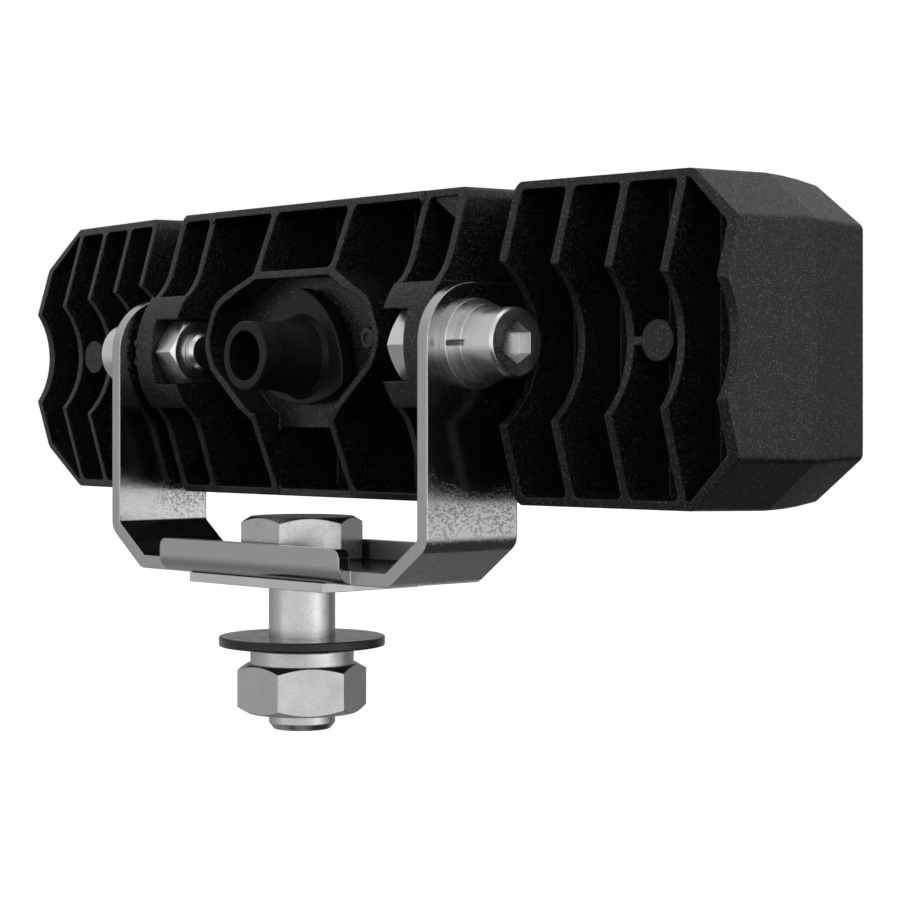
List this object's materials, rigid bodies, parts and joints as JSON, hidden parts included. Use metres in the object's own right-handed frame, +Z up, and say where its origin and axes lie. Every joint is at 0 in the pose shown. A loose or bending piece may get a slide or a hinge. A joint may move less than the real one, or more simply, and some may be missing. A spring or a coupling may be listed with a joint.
{
  "type": "fog light",
  "caption": "Bar-shaped finned fog light tilting on clamped pivots in a bent steel U bracket, with a single bolt, washer and lock nut for panel mounting.",
  "frame": {"origin": "underside of the bracket's pad plate, on the axis of the mounting bolt", "axes": "+Z up along the mounting bolt, +X along the lamp's length, lens facing -Y, cable outlet facing +Y"},
  "size_m": [0.1608, 0.0474, 0.0798],
  "materials": {
    "black_powder_coat": "matte",
    "gland_rubber": "matte",
    "seal_rubber": "matte",
    "vent_plastic": "matte",
    "zinc_steel": "satin",
    "pivot_steel": "satin",
    "black_steel": "satin",
    "bracket_steel": "satin",
    "thermal_silicone": "matte",
    "board_aluminium": "matte",
    "emitter_ceramic": "satin",
    "chip_plastic": "matte",
    "terminal_plastic": "matte",
    "wire_red": "satin",
    "wire_black": "satin",
    "reflector_chrome": "polished",
    "lens_clear": "polished",
    "bezel_plastic": "matte",
    "black_washer": "gloss",
    "insert_nylon": "satin"
  },
  "bodies": {
    "bracket": {"bracket": "bracket_steel", "base_pad": "bracket_steel", "mounting_bolt": "zinc_steel"},
    "lamp": {"housing": "black_powder_coat", "cable_gland": "gland_rubber", "gland_seal": "seal_rubber", "gland_clip": "zinc_steel", "pressure_vent": "vent_plastic", "thermal_pad": "thermal_silicone", "circuit_board": "board_aluminium", "led_emitters": "emitter_ceramic", "board_screws": "zinc_steel", "driver_parts": "chip_plastic", "wire_terminal": "terminal_plastic", "lead_wire_positive": "wire_red", "lead_wire_negative": "wire_black", "reflector": "reflector_chrome", "lens_gasket": "seal_rubber", "lens": "lens_clear", "front_bezel": "bezel_plastic", "bezel_screws": "black_steel", "pivot_screws": "pivot_steel", "pivot_flat_washers": "pivot_steel", "pivot_spring_washers": "pivot_steel", "pivot_nuts": "pivot_steel"},
    "washer": {"mounting_washer": "black_washer"},
    "nut": {"lock_nut": "zinc_steel", "lock_nut_insert": "insert_nylon"}
  },
  "joints": [
    {"name": "lamp_tilt", "type": "hinge", "parent": "bracket", "child": "lamp", "pos_m": [0, 0, 0.0354], "axis": [1, 0, 0], "range_deg": [-90, 10]},
    {"name": "washer_slide", "type": "slide", "parent": "bracket", "child": "washer", "axis": [0, 0, 1], "range_m": [0, 0.0075]},
    {"name": "nut_spin", "type": "hinge", "parent": "washer", "child": "nut", "pos_m": [0, 0, -0.012], "axis": [0, 0, 1], "range_deg": [0, 1801]}
  ],
  "couplings": [
    {"joint": "nut_spin", "follows": "washer_slide", "rad_per_m": 4188.8}
  ]
}
